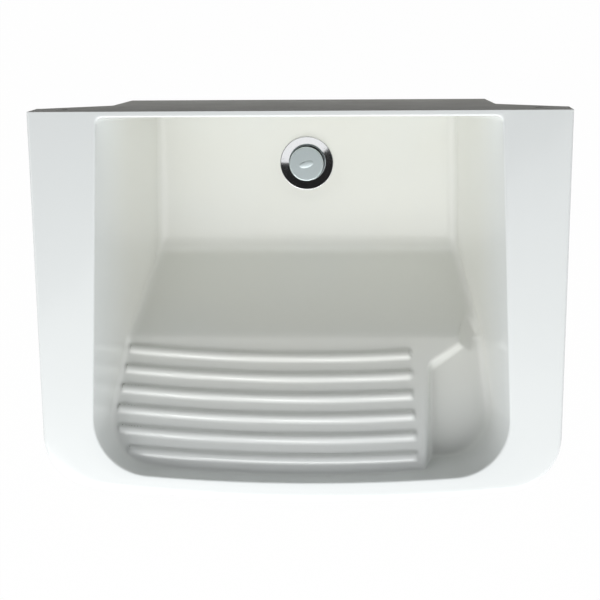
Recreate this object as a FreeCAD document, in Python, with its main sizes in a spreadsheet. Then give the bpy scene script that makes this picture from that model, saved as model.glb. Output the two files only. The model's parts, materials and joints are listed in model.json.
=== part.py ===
import FreeCAD, Part
import math
import os
import re
import Sketcher

# Driving dimensions of the laundry tub, in millimetres and degrees. The origin lies on the wall plane,
# midway between the two wall fixings. X runs right along the wall, Y into the wall and Z up: the front
# faces -Y.
SIZES = [
    # rim in plan: straight along the wall, tapering sides, bowed front
    ("rim_height", 45),
    ("rim_width", 600),
    ("rim_front_width", 584),
    ("rim_depth", 441),
    ("rim_bow", 2050),
    ("rim_corner", 62),
    ("rim_edge", 4),
    ("rim_thick", 10),
    ("skirt_drop", 60),
    ("skirt_thick", 8),
    # mouth of the basin, in the plane of the rim, by the width of the rim beside it
    ("rim_side", 76),
    ("rim_side_front", 54),
    ("rim_front", 20.5),
    ("mouth_bow", 2200),
    ("mouth_corner", 66),
    ("mouth_back_corner", 8),
    ("mouth_edge", 3),
    ("back_thick", 6),
    # how far the drafted walls have come in where they reach the depth of the floor
    ("basin_depth", 195),
    ("side_draft", 45.5),
    ("side_draft_front", 55.5),
    ("front_draft", 46.5),
    ("floor_back", 8),
    ("floor_corner", 40),
    ("floor_back_corner", 12),
    # floor, slope and washboard: the floor from the wall, the board from its end at the front of the mouth
    ("floor_length", 177),
    ("slope_angle", 47),
    ("board_front_drop", 16.12),
    ("board_angle", 28),
    ("valley_radius", 30),
    ("ridge_radius", 22),
    ("bowl_fillet", 9),
    ("wall", 10),
    # plate against the wall
    ("plate_thick", 12),
    ("plate_neck_in", 2),
    ("plate_neck_drop", 115),
    ("plate_foot_in", 9),
    ("plate_foot_below", 15),
    ("fixing_in", 34),
    ("fixing_radius", 4.5),
    # washboard ribs, along the board from the ridge to the front
    ("rib_first", 27),
    ("rib_pitch", 24.4),
    ("rib_front_gap", 20),
    ("rib_bow", 2050),
    ("rib_width", 11.6),
    ("rib_rise", 3.4),
    ("rib_step", 0.2),
    ("rib_left_gap", 7),
    ("rib_dish_gap", 23.5),
    ("rib_right_step", 1.4),
    # soap dish in the front right corner, in front of the ridge, and its groove down the slope
    ("dish_width", 92),
    ("dish_start", 16.6),
    ("dish_back_depth", 7),
    ("dish_angle", 20),
    ("dish_lip_left", 30.6),
    ("dish_lip_right", 0.6),
    ("dish_lip_width", 36),
    ("dish_draft", 15),
    ("dish_fillet", 6),
    ("dish_corner", 14),
    ("groove_in", 44),
    ("groove_radius", 15),
    ("groove_depth", 0.6),
    ("groove_angle", 33),
    ("groove_length", 70),
    # hole in the floor, and the waste that closes it
    ("drain_back", 75),
    ("drain_hole_radius", 23),
    ("recess_radius", 33.3),
    ("recess_depth", 3),
    ("recess_flare", 1),
    ("gasket_thick", 1),
    ("gasket_margin", 0.7),
    ("flange_radius", 32.3),
    ("flange_edge", 3.5),
    ("flange_lip", 0.9),
    ("flange_round", 0.6),
    ("cone_drop", 1),
    ("throat_radius", 19.2),
    ("seat_drop", 1.2),
    ("tail_radius", 20.955),
    ("tail_bore", 18),
    ("tail_length", 60),
    ("relief_gap", 1),
    ("relief_width", 2),
    ("relief_depth", 0.8),
    ("thread_gap", 0.05),
    ("slip_gap", 0.3),
    # spider inside the tail
    ("spider_depth", 20),
    ("spider_height", 8),
    ("hub_radius", 10),
    ("arm_count", 3),
    ("arm_width", 4),
    # clamping stack under the floor
    ("rubber_radius", 32),
    ("rubber_taper", 3),
    ("rubber_thick", 5),
    ("slip_radius", 30),
    ("slip_thick", 1.5),
    ("nut_flange_radius", 31),
    ("nut_flange_thick", 2),
    ("nut_radius", 30),
    ("nut_height", 12),
    # click cartridge
    ("cartridge_radius", 7),
    ("cartridge_drop", 20),
    ("collar_radius", 9.5),
    ("collar_height", 4),
    ("collar_washer", 1),
    ("neck_height", 2),
    ("chamber_radius", 5.6),
    ("plug_height", 3),
    ("plug_flange", 3),
    ("plug_hole", 2),
    ("rest_gap", 0.2),
    ("running_gap", 0.05),
    # plunger, rotor and spring
    ("stroke", 7),
    ("rod_radius", 4.5),
    ("head_radius", 5.3),
    ("head_height", 5),
    ("rotor_radius", 4.2),
    ("rotor_height", 5),
    ("lug_count", 4),
    ("lug_width", 2),
    ("lug_reach", 5.3),
    ("stem_radius", 2.6),
    ("stem_length", 4),
    ("wire_radius", 0.4),
    ("coil_radius", 4),
    ("coil_turns", 7),
    # cap, its seal and its height-setting stud
    ("cap_radius", 20.5),
    ("cap_thick", 4),
    ("cap_round", 1.2),
    ("boss_radius", 6),
    ("boss_height", 3.5),
    ("seal_outer", 18.7),
    ("seal_inner", 12),
    ("seal_thick", 2.5),
    ("seal_gap", 0.4),
    ("stud_radius", 3),
    ("stud_bite", 1.5),
    ("stud_grip", 8),
    ("stud_nut_radius", 5.8),
    ("stud_nut_height", 3),
    ("stud_free", 1.5),
]
NAMES = {alias for alias, size in SIZES}
VERTICAL_SPREAD = 1.0      # an edge that climbs more than this is not level
LEVEL_SPREAD = 0.01        # an edge within this of a plane lies in it
CLOSE = 1e-3               # two lengths this near are the same
FLOOR_ANGLE = 63           # a face whose outward normal is this near to straight down belongs to a floor
FLAT_ANGLE = 26            # the same for a flat floor with steep walls
CLIMB_ANGLE = 45           # an edge this near to the dish's own upright climbs its lip
OVER = "wall"              # how far a cutting shape reaches past what it cuts
NUT_SIDE_COUNT = 6
TURN_POINT_COUNT = 48      # points on each turn where the spring's gap to itself is measured

doc = FreeCAD.newDocument("laundry_tub")
sheet = doc.addObject("Spreadsheet::Sheet", "dims")
for row, (alias, size) in enumerate(SIZES, start=1):
    sheet.set(f"A{row}", alias)
    sheet.set(f"B{row}", str(size))
    sheet.setAlias(f"B{row}", alias)
doc.recompute()


def formula(text):
    """Names in a formula are cells of the sheet."""
    def cell(word):
        return f"dims.{word[0]}" if word[0] in NAMES else word[0]
    return re.sub(r"[a-z]+(?:_[a-z]+)*", cell, text)


def value(text):
    return float(sheet.evalExpression(formula(text)))


def bind(thing, formulas):
    for prop, text in formulas.items():
        thing.setExpression(prop, formula(text))
    return thing


def add(kind, name, formulas=None):
    return bind(doc.addObject(kind, name), formulas or {})


def place(thing, across="0", back="0", level="0"):
    """Position in the tub's frame: across from the centre line, back from the wall, above the fixings."""
    return bind(thing, {
        "Placement.Base.x": across, "Placement.Base.y": f"-({back})", "Placement.Base.z": level})


def tilt(thing, angle):
    """Leans a thing that faces up towards the wall, by an angle about the X axis."""
    thing.Placement.Rotation = FreeCAD.Rotation(FreeCAD.Vector(-1, 0, 0), value(angle))
    return bind(thing, {"Placement.Rotation.Angle": angle})


def pin(sketch, side, end, across, up):
    for kind, text, axis in (("DistanceX", across, -2), ("DistanceY", up, -1)):
        if abs(value(text)) < CLOSE:
            sketch.addConstraint(Sketcher.Constraint("PointOnObject", side, end, axis))
        else:
            number = sketch.addConstraint(Sketcher.Constraint(kind, side, end, value(text)))
            sketch.setExpression(f"Constraints[{number}]", formula(text))


def draw(sketch, corners):
    """A closed outline of straight sides through corners given as formulas."""
    points = [FreeCAD.Vector(value(across), value(up), 0) for across, up in corners]
    for start, end in zip(points, points[1:] + points[:1]):
        sketch.addGeometry(Part.LineSegment(start, end))
    for side, (across, up) in enumerate(corners):
        before = (side - 1) % len(corners)
        sketch.addConstraint(Sketcher.Constraint("Coincident", before, 2, side, 1))
        pin(sketch, side, 1, across, up)
    return sketch


def plan_outline(name, level, back, half_back, front, half_front, bow):
    """An outline seen from above: straight at the wall, tapering sides and a bowed front."""
    sketch = place(add("Sketcher::SketchObject", name), level=level)
    corner_back = f"({front}) - {bow} + sqrt(({bow})^2 - ({half_front})^2)"
    spots = [(f"-({half_back})", f"-({back})"), (half_back, f"-({back})"),
             (half_front, f"-({corner_back})"), (f"-({half_front})", f"-({corner_back})")]
    left, right, front_right, front_left = [FreeCAD.Vector(value(x), value(y), 0) for x, y in spots]
    centre = FreeCAD.Vector(0, value(f"{bow} - ({front})"), 0)
    spread = math.asin(value(half_front) / value(bow))
    circle = Part.Circle(centre, FreeCAD.Vector(0, 0, 1), value(bow))
    sketch.addGeometry(Part.LineSegment(left, right))
    sketch.addGeometry(Part.LineSegment(right, front_right))
    sketch.addGeometry(Part.ArcOfCircle(circle, -math.pi / 2 - spread, -math.pi / 2 + spread))
    sketch.addGeometry(Part.LineSegment(front_left, left))
    for first, first_end, second, second_end in ((0, 2, 1, 1), (1, 2, 2, 2), (2, 1, 3, 1), (3, 2, 0, 1)):
        sketch.addConstraint(Sketcher.Constraint("Coincident", first, first_end, second, second_end))
    for side, end, spot in ((0, 1, 0), (1, 1, 1), (1, 2, 2), (3, 1, 3)):
        pin(sketch, side, end, *spots[spot])
    number = sketch.addConstraint(Sketcher.Constraint("Radius", 2, value(bow)))
    sketch.setExpression(f"Constraints[{number}]", formula(bow))
    return sketch


def extrude(name, sketch, forward="0", reverse="0", symmetric=False):
    solid = add("Part::Extrusion", name, {"LengthFwd": forward, "LengthRev": reverse})
    solid.Base = sketch
    solid.DirMode = "Normal"
    solid.Solid = True
    solid.Symmetric = symmetric
    return solid


def combine(kind, name, *things):
    """A cut takes its second thing from its first; a fuse or a common takes any number."""
    solid = add(kind, name)
    if kind == "Part::Cut":
        solid.Base, solid.Tool = things
        solid.Refine = False
    else:
        solid.Shapes = list(things)
    return solid


def fuse(name, *things):
    return combine("Part::MultiFuse", name, *things)


def common(name, *things):
    return combine("Part::MultiCommon", name, *things)


def cut(name, base, tool):
    return combine("Part::Cut", name, base, tool)


def rounded(name, base, radii):
    """Rounds the edges for which radii gives a start and an end radius."""
    doc.recompute()
    fillet = add("Part::Fillet", name)
    fillet.Base = base
    picks = [(number, radii(edge)) for number, edge in enumerate(base.Shape.Edges, start=1)]
    fillet.Edges = [(number, *pair) for number, pair in picks if pair]
    return fillet


def ends(edge):
    return edge.valueAt(edge.FirstParameter), edge.valueAt(edge.LastParameter)


def corner_radii(front_radius, back_radius, lower_front=None, lower_back=None):
    """Radii for the four edges that run down the corners of a plan outline's solid."""
    top_pair = (value(back_radius), value(front_radius))
    low_pair = (value(lower_back or back_radius), value(lower_front or front_radius))
    middle = -value("rim_depth") / 2

    def radii(edge):
        start, end = ends(edge)
        if abs(start.z - end.z) < VERTICAL_SPREAD:
            return None
        at_front = start.y < middle
        pair = (top_pair[at_front], low_pair[at_front])
        if not pair[0]:
            return None
        return pair if start.z > end.z else pair[::-1]
    return radii


def floor_radii(base, radius, up=FreeCAD.Vector(0, 0, 1), angle=FLOOR_ANGLE):
    """Radii for the edges where floor faces meet wall faces, leaving those on the wall plane sharp."""
    doc.recompute()

    def is_floor(face):
        low_u, high_u, low_v, high_v = face.ParameterRange
        normal = face.normalAt((low_u + high_u) / 2, (low_v + high_v) / 2)
        return math.degrees(normal.getAngle(-up)) < angle

    def radii(edge):
        faces = base.Shape.ancestorsOfType(edge, Part.Face)
        start, end = ends(edge)
        on_wall = max(abs(start.y), abs(end.y)) < VERTICAL_SPREAD
        meets = len({is_floor(face) for face in faces}) == 2
        return (value(radius), value(radius)) if meets and not on_wall else None
    return radii


# The mouth's half widths at the wall and at the front, how far out its front is, and the ridge where the
# slope up from the floor meets the board down from the front
MOUTH_HALF = "(rim_width / 2 - rim_side)"
MOUTH_HALF_FRONT = "(rim_front_width / 2 - rim_side_front)"
MOUTH_FRONT = "(rim_depth - rim_front)"
RIDGE_BACK = ("((basin_depth + floor_length * tan(slope_angle) - board_front_drop - "
              + MOUTH_FRONT + " * tan(board_angle)) / (tan(slope_angle) - tan(board_angle)))")
BOARD_DROP = "(board_front_drop + (" + MOUTH_FRONT + " - ({})) * tan(board_angle))"
RIDGE_DROP = BOARD_DROP.format(RIDGE_BACK)
RIDGE_SPREAD = "cos((slope_angle - board_angle) / 2)"
RIDGE_LEAN = "((slope_angle + board_angle) / 2)"


def tapered_bowl(name, by, back_at_rim, back_at_floor):
    """The drafted walls of the basin, moved outward by a wall, with sharp corners."""
    mouth = plan_outline(f"{name}_mouth", "rim_height", back_at_rim, f"{MOUTH_HALF} + {by}",
                         f"{MOUTH_FRONT} + {by}", f"{MOUTH_HALF_FRONT} + {by}", "mouth_bow")
    floor = plan_outline(f"{name}_floor", f"rim_height - basin_depth - {by}", back_at_floor,
                         f"{MOUTH_HALF} - side_draft + {by}", f"{MOUTH_FRONT} - front_draft + {by}",
                         f"{MOUTH_HALF_FRONT} - side_draft_front + {by}", "mouth_bow")
    walls = add("Part::Loft", f"{name}_walls")
    walls.Sections = [mouth, floor]
    walls.Solid = True
    walls.Ruled = True
    return walls


def side_profile(name, by, valley, ridge):
    """Everything above the floor, slope and washboard, or above their undersides, as one long block."""
    far = "rim_depth"
    corners = [
        (f"-{OVER}", f"-basin_depth - {by}"),
        (f"floor_length + {by} * tan(slope_angle / 2)", f"-basin_depth - {by}"),
        (f"{RIDGE_BACK} + {by} * sin{RIDGE_LEAN} / {RIDGE_SPREAD}",
         f"-{RIDGE_DROP} - {by} * cos{RIDGE_LEAN} / {RIDGE_SPREAD}"),
        (far, f"-{BOARD_DROP.format(far)} - {by} / cos(board_angle)"),
        (far, "rim_depth"),
        (f"-{OVER}", "rim_depth"),
    ]
    sketch = place(add("Sketcher::SketchObject", f"{name}_profile"), level="rim_height")
    sketch.Placement.Rotation = FreeCAD.Rotation(
        FreeCAD.Vector(0, -1, 0), FreeCAD.Vector(0, 0, 1), FreeCAD.Vector(-1, 0, 0), "XYZ")
    block = extrude(f"{name}_block", draw(sketch, corners), forward="rim_width", symmetric=True)
    bends = [(-value(corners[1][0]), value(valley)), (-value(corners[2][0]), value(ridge))]

    def radii(edge):
        start, end = ends(edge)
        for back, radius in bends:
            if max(abs(start.y - back), abs(end.y - back)) < VERTICAL_SPREAD:
                return (radius, radius)
        return None
    return rounded(f"{name}_bent", block, radii)


# The air inside the basin: drafted walls, floor, slope and washboard, all joined by one soft fillet
inner_walls = tapered_bowl("inner", "0", "back_thick", "floor_back")
inner_corners = rounded("inner_corners", inner_walls, corner_radii(
    "mouth_corner", "mouth_back_corner", "floor_corner", "floor_back_corner"))
inner_sharp = common("inner_sharp", inner_corners, side_profile(
    "inner", "0", "valley_radius", "ridge_radius"))
air = rounded("air", inner_sharp, floor_radii(inner_sharp, "bowl_fillet"))

# The moulded shell round that air, before anything is hollowed
outer_walls = tapered_bowl("outer", "wall", "0", "0")
outer_corners = rounded("outer_corners", outer_walls, corner_radii(
    "mouth_corner + wall", "0", "floor_corner + wall", "0"))
outer_sharp = common("outer_sharp", outer_corners, side_profile(
    "outer", "wall", "valley_radius + wall", "ridge_radius - wall"))
shell = rounded("shell", outer_sharp, floor_radii(outer_sharp, "bowl_fillet + wall"))

# Rim slab, hollow underneath, so that it ends in a skirt
rim_outline = plan_outline("rim_outline", "rim_height", "0", "rim_width / 2", "rim_depth",
                           "rim_front_width / 2", "rim_bow")
rim_block = extrude("rim_block", rim_outline, reverse="skirt_drop")
rim_slab = rounded("rim_slab", rim_block, corner_radii("rim_corner", "0"))
hollow_outline = plan_outline("hollow_outline", "rim_height - rim_thick", "plate_thick",
                              "rim_width / 2 - skirt_thick", "rim_depth - skirt_thick",
                              "rim_front_width / 2 - skirt_thick", "rim_bow")
hollow_block = extrude("hollow_block", hollow_outline, reverse="skirt_drop")
hollow = rounded("hollow", hollow_block, corner_radii("rim_corner - skirt_thick", "0"))
rim = cut("rim", rim_slab, hollow)

# Plate against the wall: wings under the rim, narrowing to the width of the basin
plate_corners = [
    ("rim_width / 2 - skirt_thick / 2", "-rim_thick / 2"),
    ("rim_width / 2 - skirt_thick / 2", "-skirt_drop"),
    (f"{MOUTH_HALF} - plate_neck_in", "-plate_neck_drop"),
    (f"{MOUTH_HALF} - plate_foot_in", "-basin_depth - wall - plate_foot_below")]
plate_outline = place(add("Sketcher::SketchObject", "plate_outline"), level="rim_height")
plate_outline.Placement.Rotation = FreeCAD.Rotation(FreeCAD.Vector(1, 0, 0), 90)
draw(plate_outline, plate_corners + [(f"-({across})", up) for across, up in reversed(plate_corners)])
plate = extrude("plate", plate_outline, forward="plate_thick")

# Washboard ribs: shallow bowed rolls that stand out of the board, from short of the left wall to short
# of the soap dish. Where the wall turns into the front corner, they stop short of the corner's round.
# Each is a round roll on a bowed line, trimmed by two bowed upright faces with a small step at its foot.
board_turn = FreeCAD.Rotation(FreeCAD.Vector(-1, 0, 0), value("board_angle"))
board_up = board_turn.multVec(FreeCAD.Vector(0, 0, 1))
board_forward = board_turn.multVec(FreeCAD.Vector(0, -1, 0))
ridge = FreeCAD.Vector(0, -value(RIDGE_BACK), value(f"rim_height - {RIDGE_DROP}"))
board_length = value(f"({MOUTH_FRONT} - {RIDGE_BACK}) / cos(board_angle)")
rib_count = int((board_length - value("rib_first + rib_front_gap")) / value("rib_pitch")) + 1
rib_section = "((rib_width^2 / 4 + rib_rise^2) / (2 * rib_rise))"
DISH_LEFT = f"({MOUTH_HALF_FRONT} - dish_width)"


def wall_left(out):
    """How far left the inner wall is at the height of the board, a distance out from the wall plane."""
    sunk = f"({BOARD_DROP.format(out)} / basin_depth)"
    front = f"({MOUTH_FRONT} - front_draft * {sunk})"
    half = (f"({MOUTH_HALF} - side_draft * {sunk} + ({out}) / {front} * "
            f"({MOUTH_HALF_FRONT} - {MOUTH_HALF} - (side_draft_front - side_draft) * {sunk}))")
    corner = f"(mouth_corner - (mouth_corner - floor_corner) * {sunk})"
    past = value(f"({out}) - {front} + {corner}")
    if past <= 0:
        return half
    return f"({half} - {corner} + sqrt({corner}^2 - (({out}) - {front} + {corner})^2))"


ribs = []
crowns = []
for number in range(rib_count):
    out = f"({RIDGE_BACK} + (rib_first + {number} * rib_pitch) * cos(board_angle))"
    left = f"asin(({wall_left(out)} - rib_left_gap) / rib_bow)"
    right = f"asin(({DISH_LEFT} - rib_dish_gap + {number} * rib_right_step) / rib_bow)"
    along = value(f"rib_first + {number} * rib_pitch")
    sunk = value(f"{rib_section} - rib_rise")
    middle = ridge + board_forward * (along - value("rib_bow")) - board_up * sunk
    start = FreeCAD.Rotation(FreeCAD.Vector(0, 0, 1), value(f"-90 - {left} / 1 deg"))
    name = f"rib_{number + 1}"
    roll = add("Part::Torus", f"{name}_roll", {"Radius1": "rib_bow", "Radius2": rib_section})
    outside = add("Part::Cylinder", f"{name}_outside", {
        "Radius": "rib_bow + rib_width / 2 - rib_step", "Height": f"2 * {rib_section}",
        "Angle": f"{left} + {right}"})
    inside = add("Part::Cylinder", f"{name}_inside", {
        "Radius": "rib_bow - rib_width / 2 + rib_step", "Height": f"2 * {rib_section}"})
    for shape in (roll, outside, inside):
        shape.Placement = FreeCAD.Placement(middle, board_turn * start)
    ribs.append(common(name, roll, cut(f"{name}_band", outside, inside)))
    crowns.append(ridge + board_forward * along + board_up * value("rib_rise / 2"))
ribbed_air = cut("ribbed_air", air, fuse("ribs", *ribs))

# Soap dish: a drafted recess with a sloping floor, open to the basin through a round groove
DISH_BACK = f"({RIDGE_BACK} + dish_start)"
DISH_LEVEL = f"(rim_height - {BOARD_DROP.format(DISH_BACK)} - dish_back_depth)"
dish_up = FreeCAD.Rotation(FreeCAD.Vector(-1, 0, 0), value("dish_angle")).multVec(FreeCAD.Vector(0, 0, 1))


def dish_block(name, by):
    """The soap dish's drafted outline, moved outward by a wall and standing on its own sloping floor."""
    def along(distance):
        return f"(dish_start - ({distance})) / cos(dish_angle)"
    front = along("rim_depth")
    lip_right = f"{along('dish_lip_right')} + {by}"
    far_right = f"{MOUTH_HALF_FRONT} + wall + {by}"
    corners = [
        (f"{DISH_LEFT} - {by}", front), (f"{DISH_LEFT} - {by}", f"{along('dish_lip_left')} + {by}"),
        (f"{DISH_LEFT} + dish_lip_width - {by}", lip_right), (far_right, lip_right), (far_right, front)]
    sketch = place(
        add("Sketcher::SketchObject", f"{name}_outline"), back=f"{DISH_BACK} + {by} * sin(dish_angle)",
        level=f"{DISH_LEVEL} - {by} * cos(dish_angle)")
    block = extrude(f"{name}_block", draw(tilt(sketch, "dish_angle"), corners), forward=RIDGE_DROP)
    return bind(block, {"TaperAngle": "dish_draft"})


def dish_corner_radii(edge):
    """Radii for the two edges that climb the corners of the dish's lip."""
    start, end = ends(edge)
    lean = math.degrees((end - start).getAngle(dish_up))
    climbs = min(lean, 180 - lean) < CLIMB_ANGLE
    behind_front = min(start.y, end.y) > -value(MOUTH_FRONT)
    at_lip = behind_front and max(start.x, end.x) < value(MOUTH_HALF)
    return (value("dish_corner"), value("dish_corner")) if climbs and at_lip else None


dish_lip = rounded("dish_lip", dish_block("dish", "0"), dish_corner_radii)
dish_sharp = common("dish_sharp", dish_lip, inner_corners)
dish = rounded("dish", dish_sharp, floor_radii(dish_sharp, "dish_fillet", dish_up, FLAT_ANGLE))
dish_boss = common("dish_boss", dish_block("boss", "wall"), outer_corners)

groove_round = tilt(place(
    add("Part::Cylinder", "groove_round", {"Radius": "groove_radius", "Height": "groove_length"}),
    across=f"{MOUTH_HALF_FRONT} - groove_in", back=f"{DISH_BACK} - groove_radius * sin(groove_angle)",
    level=f"{DISH_LEVEL} - groove_depth + groove_radius * cos(groove_angle)"),
    "90 + groove_angle")
groove = common("groove", groove_round, inner_corners)

# Holes for the waste and for the wall fixings, and the finished basin
FLOOR = "(rim_height - basin_depth)"
recess = place(add("Part::Cone", "recess", {
    "Radius1": "recess_radius", "Radius2": "recess_radius + recess_flare", "Height": "recess_depth"}),
    back="drain_back", level=f"{FLOOR} - recess_depth")
drain_hole = place(add("Part::Cylinder", "drain_hole", {
    "Radius": "drain_hole_radius", "Height": f"wall + 2 * {OVER}"}),
    back="drain_back", level=f"{FLOOR} - wall - {OVER}")

fixings = []
for side in (-1, 1):
    fixing = place(add("Part::Cylinder", "fixing", {
        "Radius": "fixing_radius", "Height": f"plate_thick + 2 * {OVER}"}),
        across=f"{side} * (rim_width / 2 - fixing_in)", back=f"-{OVER}")
    fixings.append(tilt(fixing, "-90"))
basin_sharp = fuse("moulding", shell, rim, plate, dish_boss)
for hollow_shape in (ribbed_air, dish, groove, recess, drain_hole, *fixings):
    basin_sharp = cut(f"less_{hollow_shape.Name}", basin_sharp, hollow_shape)


def rim_radii(edge):
    """Radii for the edges in the plane of the rim: the mouth's own and the outer ones, not at the wall."""
    top = value("rim_height")
    middle = edge.valueAt((edge.FirstParameter + edge.LastParameter) / 2)
    off_rim = max(abs(spot.z - top) for spot in (*ends(edge), middle)) > LEVEL_SPREAD
    if off_rim or abs(middle.y) < LEVEL_SPREAD:
        return None
    between = -value(MOUTH_FRONT) - VERTICAL_SPREAD < middle.y < -value("back_thick") + VERTICAL_SPREAD
    inside = between and abs(middle.x) < max(value(MOUTH_HALF), value(MOUTH_HALF_FRONT)) + VERTICAL_SPREAD
    radius = value("mouth_edge") if inside else value("rim_edge")
    return (radius, radius)


basin = rounded("tub_basin", basin_sharp, rim_radii)

# Heights in the waste, above the basin floor, with the cap raised
FLANGE_UNDER = "(gasket_thick - recess_depth)"
FLANGE_TOP = f"({FLANGE_UNDER} + flange_edge)"
THROAT = f"({FLANGE_TOP} - cone_drop)"
TAIL_END = f"({FLANGE_UNDER} - tail_length)"
HUB_TOP = f"({FLANGE_UNDER} - spider_depth)"
HUB_UNDER = f"({HUB_TOP} - spider_height)"
COLLAR_UNDER = f"({HUB_TOP} + collar_washer)"
COLLAR_TOP = f"({COLLAR_UNDER} + collar_height)"
CHAMBER_TOP = f"({COLLAR_TOP} - neck_height)"
HOUSING_END = f"({HUB_UNDER} - cartridge_drop)"
PLUG_TOP = f"({HOUSING_END} + plug_height)"
HEAD_TOP = f"({CHAMBER_TOP} - rest_gap)"
HEAD_UNDER = f"({HEAD_TOP} - head_height)"
ROTOR_TOP = f"({HEAD_UNDER} - rest_gap)"
ROTOR_UNDER = f"({ROTOR_TOP} - rotor_height)"
SEAT = f"({THROAT} - seat_drop * (throat_radius - seal_outer) / (throat_radius - tail_bore))"
SEAL_UNDER = f"({SEAT} + seal_gap + stroke)"
CAP_UNDER = f"({SEAL_UNDER} + seal_thick)"
CAP_TOP = f"({CAP_UNDER} + cap_thick)"
BOSS_UNDER = f"({CAP_UNDER} - boss_height)"
STUD_NUT_UNDER = f"({BOSS_UNDER} - stud_nut_height)"
ROD_TOP = f"({STUD_NUT_UNDER} - stud_free)"
STUD_UNDER = f"({ROD_TOP} - stud_grip)"
STUD_TOP = f"({CAP_UNDER} + stud_bite)"
RUBBER_UNDER = "(-wall - rubber_thick)"
SLIP_UNDER = f"({RUBBER_UNDER} - slip_thick)"
NUT_UNDER = f"({SLIP_UNDER} - nut_height)"
RELIEF_TOP = f"({NUT_UNDER} - relief_gap)"
RELIEF_UNDER = f"({RELIEF_TOP} - relief_width)"


def on_drain(thing, level="0"):
    return place(thing, back="drain_back", level=f"{FLOOR} + {level}")


def turned(name, profile):
    """A turned piece on the drain's axis, from a closed profile of radii and heights above the floor."""
    body = doc.addObject("PartDesign::Body", name)
    sketch = body.newObject("Sketcher::SketchObject", f"{name}_profile")
    planes = body.Origin.OriginFeatures
    sketch.AttachmentSupport = [(plane, "") for plane in planes if plane.Role == "XZ_Plane"]
    sketch.MapMode = "FlatFace"
    draw(sketch, profile)
    turn = body.newObject("PartDesign::Revolution", f"{name}_turn")
    turn.Profile = sketch
    turn.ReferenceAxis = (sketch, ["V_Axis"])
    turn.Angle = 360
    return on_drain(body)


def ring(name, inner, outer, under, top):
    return turned(name, [(inner, under), (outer, under), (outer, top), (inner, top)])


def eased(body, radius, level, edge_radius):
    """Rounds a turned piece's circular edge of one radius at one height."""
    doc.recompute()
    base = body.Tip
    spots = [(number, edge.BoundBox) for number, edge in enumerate(base.Shape.Edges, start=1)]
    picks = [f"Edge{number}" for number, box in spots
             if abs(box.XMax - value(edge_radius)) < CLOSE and abs(box.Center.z - value(level)) < CLOSE
             and box.ZLength < CLOSE]
    fillet = body.newObject("PartDesign::Fillet", f"{body.Name}_edge")
    fillet.Base = (base, picks)
    bind(fillet, {"Radius": radius})
    return body


def hexagon(name, circumradius, bore, under, height):
    """A nut's six-sided blank, and the hole to cut from it."""
    blank = add("Part::Prism", f"{name}_blank", {"Circumradius": circumradius, "Height": height})
    blank.Polygon = NUT_SIDE_COUNT
    hole = add("Part::Cylinder", f"{name}_bore", {"Radius": bore, "Height": height})
    return on_drain(blank, under), on_drain(hole, under)


def spokes(name, count, width, reach, under, height):
    """Bars that reach out from the drain's axis, evenly spaced round it."""
    bars = []
    for number in range(round(value(count))):
        sizes = {"Length": reach, "Width": width, "Height": height}
        bar = add("Part::Box", f"{name}_{number + 1}", sizes)
        turn = FreeCAD.Rotation(FreeCAD.Vector(0, 0, 1), number * 360 / round(value(count)))
        offset_y = turn.multVec(FreeCAD.Vector(0, -value(width) / 2, 0))
        bar.Placement = FreeCAD.Placement(offset_y + FreeCAD.Vector(
            0, -value("drain_back"), value(f"{FLOOR} + {under}")), turn)
        bars.append(bar)
    return bars


# Flange with its dished ring, seat and threaded tail, and the spider that carries the cartridge. A relief
# groove parts the lock nut's stretch of the tail from the free end that the trap screws on.
relief_radius = "tail_radius - relief_depth"
flange_shell = eased(turned("flange_shell", [
    ("tail_radius", FLANGE_UNDER), ("flange_radius", FLANGE_UNDER), ("flange_radius", FLANGE_TOP),
    ("flange_radius - flange_lip", FLANGE_TOP), ("throat_radius", THROAT),
    ("tail_bore", f"{THROAT} - seat_drop"), ("tail_bore", TAIL_END), ("tail_radius", TAIL_END),
    ("tail_radius", RELIEF_UNDER), (relief_radius, RELIEF_UNDER), (relief_radius, RELIEF_TOP),
    ("tail_radius", RELIEF_TOP)]), "flange_round", FLANGE_TOP, "flange_radius")
hub = on_drain(add("Part::Cylinder", "hub", {"Radius": "hub_radius", "Height": "spider_height"}), HUB_UNDER)
arms = spokes("arm", "arm_count", "arm_width", "(tail_bore + tail_radius) / 2", HUB_UNDER, "spider_height")
hub_bore = on_drain(add("Part::Cylinder", "hub_bore", {
    "Radius": "cartridge_radius + thread_gap", "Height": "spider_height"}), HUB_UNDER)
drain_flange = fuse("drain_flange", flange_shell, cut("spider", fuse("spider_blank", hub, *arms), hub_bore))

# What clamps the flange to the floor
flange_gasket = ring("flange_gasket", "tail_radius + slip_gap", "flange_radius - gasket_margin",
                     "-recess_depth", FLANGE_UNDER)
tapered_washer = turned("tapered_washer", [
    ("tail_radius + slip_gap", RUBBER_UNDER), ("rubber_radius - rubber_taper", RUBBER_UNDER),
    ("rubber_radius", "-wall"), ("tail_radius + slip_gap", "-wall")])
slip_washer = ring("slip_washer", "tail_radius + slip_gap", "slip_radius", SLIP_UNDER, RUBBER_UNDER)
nut_blank, nut_bore = hexagon("nut", "nut_radius", "tail_radius + thread_gap", NUT_UNDER, "nut_height")
nut_flange = on_drain(add("Part::Cylinder", "nut_flange", {
    "Radius": "nut_flange_radius", "Height": "nut_flange_thick"}), f"{SLIP_UNDER} - nut_flange_thick")
lock_nut = cut("lock_nut", fuse("nut_outside", nut_blank, nut_flange), nut_bore)

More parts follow.
